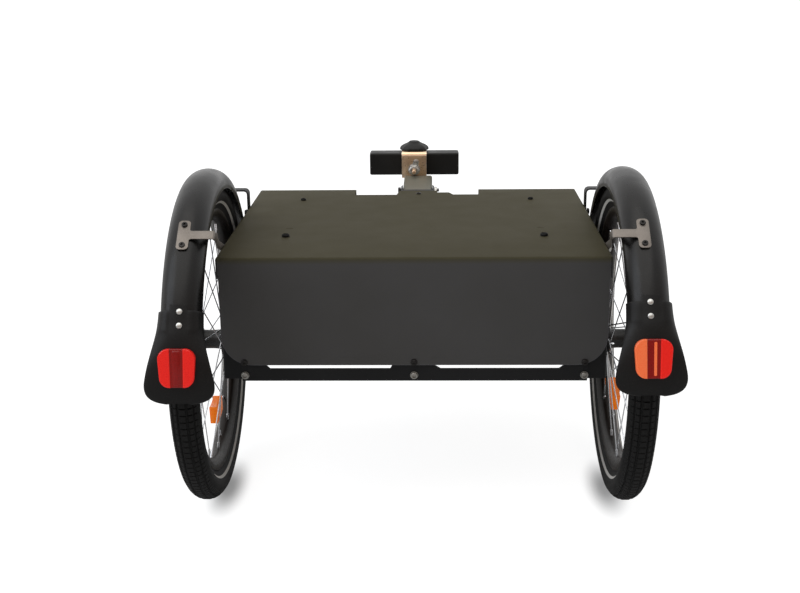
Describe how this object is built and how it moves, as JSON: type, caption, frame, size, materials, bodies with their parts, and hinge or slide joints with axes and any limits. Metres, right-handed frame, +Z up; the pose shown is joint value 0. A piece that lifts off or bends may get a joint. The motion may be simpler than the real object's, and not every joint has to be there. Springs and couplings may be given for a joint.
{
  "type": "dog bike trailer",
  "caption": "Two-wheeled bike trailer chassis with a folded flat deck, full mudguards with flaps and reflectors, and a folding drawbar with a swivelling clamp head.",
  "frame": {"origin": "on the ground, under the middle of the bounding box in plan", "axes": "+Z up, +Y forwards along the drawbar (the way the trailer is towed), +X to the right seen from behind; the wheel axle runs along X"},
  "size_m": [0.7321, 0.8938, 0.5115],
  "materials": {
    "deck_paint": "satin powder coat, olive grey",
    "frame_black": "satin black powder coat",
    "tyre_rubber": "black rubber with a reflective grey stripe",
    "rim_black": "anodised black",
    "hub_black": "anodised black hub with silver spokes",
    "bearing_steel": "ground steel",
    "amber_reflector": "prismatic amber",
    "valve_black": "black",
    "zinc_steel": "zinc plated",
    "black_bolt": "blackened steel",
    "mudguard_black": "semi-gloss black plastic",
    "flap_black": "matt black flexible plastic",
    "red_lens": "prismatic red",
    "stainless_steel": "brushed stainless, warm grey",
    "drawbar_grey": "grey powder coat",
    "clamp_black": "moulded black plastic"
  },
  "bodies": {
    "chassis": {"axle_nut_left": "zinc_steel", "axle_nut_right": "zinc_steel", "bracket_bolt_left": "zinc_steel", "bracket_bolt_right": "zinc_steel", "centre_spine": "frame_black", "crossbeam_bolt_centre": "zinc_steel", "crossbeam_bolt_left": "zinc_steel", "crossbeam_bolt_right": "zinc_steel", "deck_panel": "deck_paint", "drawbar_pivot_bolt": "black_bolt", "drawbar_pivot_nut": "zinc_steel", "fender_bracket_left": "stainless_steel", "fender_bracket_right": "stainless_steel", "fender_left": "mudguard_black", "fender_right": "mudguard_black", "fender_stay_left": "frame_black", "fender_stay_right": "frame_black", "front_crossmember": "frame_black", "mud_flap_left": "flap_black", "mud_flap_right": "flap_black", "panel_bolt_centre": "black_bolt", "panel_bolt_left": "black_bolt", "panel_bolt_right": "black_bolt", "rear_crossbeam": "frame_black", "rear_reflector_left": "red_lens", "rear_reflector_right": "red_lens", "side_frame_left": "frame_black", "side_frame_right": "frame_black", "spine_bolt": "black_bolt", "stay_bolt_left": "black_bolt", "stay_bolt_right": "black_bolt", "stub_axle_left": "zinc_steel", "stub_axle_right": "zinc_steel"},
    "wheel_left": {"tyre_left": "tyre_rubber", "rim_left": "rim_black", "hub_and_spokes_left": "hub_black", "inner_bearing_left": "bearing_steel", "outer_bearing_left": "bearing_steel", "spoke_reflector_left": "amber_reflector", "valve_stem_left": "valve_black"},
    "wheel_right": {"tyre_right": "tyre_rubber", "rim_right": "rim_black", "hub_and_spokes_right": "hub_black", "inner_bearing_right": "bearing_steel", "outer_bearing_right": "bearing_steel", "spoke_reflector_right": "amber_reflector", "valve_stem_right": "valve_black"},
    "drawbar": {"drawbar_tube": "drawbar_grey", "drawbar_head_plate": "stainless_steel", "roll_bolt": "zinc_steel", "roll_nut": "zinc_steel"},
    "yoke": {"hitch_bracket": "stainless_steel", "kingpin": "zinc_steel", "knob_washer": "zinc_steel"},
    "clamp": {"hitch_block": "clamp_black"},
    "knob": {"star_knob": "clamp_black"}
  },
  "joints": [
    {"name": "wheel_left_spin", "type": "hinge", "parent": "chassis", "child": "wheel_left", "pos_m": [-0.318, -0.16906, 0.247], "axis": [1, 0, 0], "continuous": true},
    {"name": "wheel_right_spin", "type": "hinge", "parent": "chassis", "child": "wheel_right", "pos_m": [0.318, -0.16906, 0.247], "axis": [1, 0, 0], "continuous": true},
    {"name": "drawbar_fold", "type": "hinge", "parent": "chassis", "child": "drawbar", "pos_m": [0, 0.26094, 0.3958], "axis": [1, 0, 0], "range_deg": [-90, 0]},
    {"name": "hitch_roll", "type": "hinge", "parent": "drawbar", "child": "yoke", "pos_m": [-0.008, 0.38494, 0.4124], "axis": [0, 1, 0], "range_deg": [-90, 90]},
    {"name": "hitch_yaw", "type": "hinge", "parent": "yoke", "child": "clamp", "pos_m": [-0.008, 0.42124, 0.4194], "axis": [0, 0, 1], "range_deg": [-18, 18]},
    {"name": "knob_turn", "type": "hinge", "parent": "yoke", "child": "knob", "pos_m": [-0.008, 0.42124, 0.4472], "axis": [0, 0, 1], "range_deg": [0, 1080]}
  ]
}
